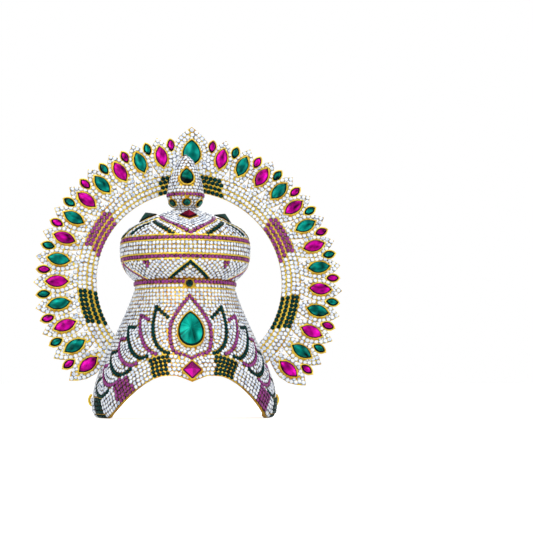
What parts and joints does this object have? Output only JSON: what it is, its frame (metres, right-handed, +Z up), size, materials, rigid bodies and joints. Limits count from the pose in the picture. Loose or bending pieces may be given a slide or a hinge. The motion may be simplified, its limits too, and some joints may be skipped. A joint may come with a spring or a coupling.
{
  "type": "jewelled deity crown with halo",
  "caption": "Gold crown for a deity's image: flared cap with ear lappets, bulb and bud finial, and a pierced halo of flame petals set with green and magenta stones.",
  "frame": {"origin": "middle of the bounding box on the floor, level with the feet of the two lappets", "axes": "+X to the viewer's right seen from the front, +Y from the front to the back, +Z up"},
  "size_m": [0.2164, 0.111, 0.207],
  "materials": {
    "gold": "polished gold plate",
    "green_glass": "foil-backed cut glass",
    "magenta_glass": "foil-backed cut glass"
  },
  "bodies": {
    "root": {"brow_pear": "green_glass", "brow_square": "magenta_glass", "bulb_square_back": "magenta_glass", "bulb_square_front": "magenta_glass", "bulb_square_left": "green_glass", "bulb_square_right": "green_glass", "cap_bell": "gold", "cap_bulb": "gold", "finial": "gold", "finial_pear": "green_glass", "finial_round_1": "green_glass", "finial_round_2": "green_glass", "finial_round_3": "green_glass", "finial_round_4": "green_glass", "finial_round_5": "green_glass", "finial_round_6": "green_glass", "halo_navette_left_01": "magenta_glass", "halo_navette_left_02": "green_glass", "halo_navette_left_03": "magenta_glass", "halo_navette_left_04": "green_glass", "halo_navette_left_05": "magenta_glass", "halo_navette_left_06": "green_glass", "halo_navette_left_07": "magenta_glass", "halo_navette_left_08": "green_glass", "halo_navette_left_09": "magenta_glass", "halo_navette_left_10": "green_glass", "halo_navette_left_11": "magenta_glass", "halo_navette_left_12": "green_glass", "halo_navette_left_13": "magenta_glass", "halo_navette_right_01": "magenta_glass", "halo_navette_right_02": "green_glass", "halo_navette_right_03": "magenta_glass", "halo_navette_right_04": "green_glass", "halo_navette_right_05": "magenta_glass", "halo_navette_right_06": "green_glass", "halo_navette_right_07": "magenta_glass", "halo_navette_right_08": "green_glass", "halo_navette_right_09": "magenta_glass", "halo_navette_right_10": "green_glass", "halo_navette_right_11": "magenta_glass", "halo_navette_right_12": "green_glass", "halo_navette_right_13": "magenta_glass", "halo_pear": "green_glass", "halo_plate": "gold", "neck_round": "green_glass", "tie_loop_left": "gold", "tie_loop_right": "gold"}
  },
  "joints": []
}
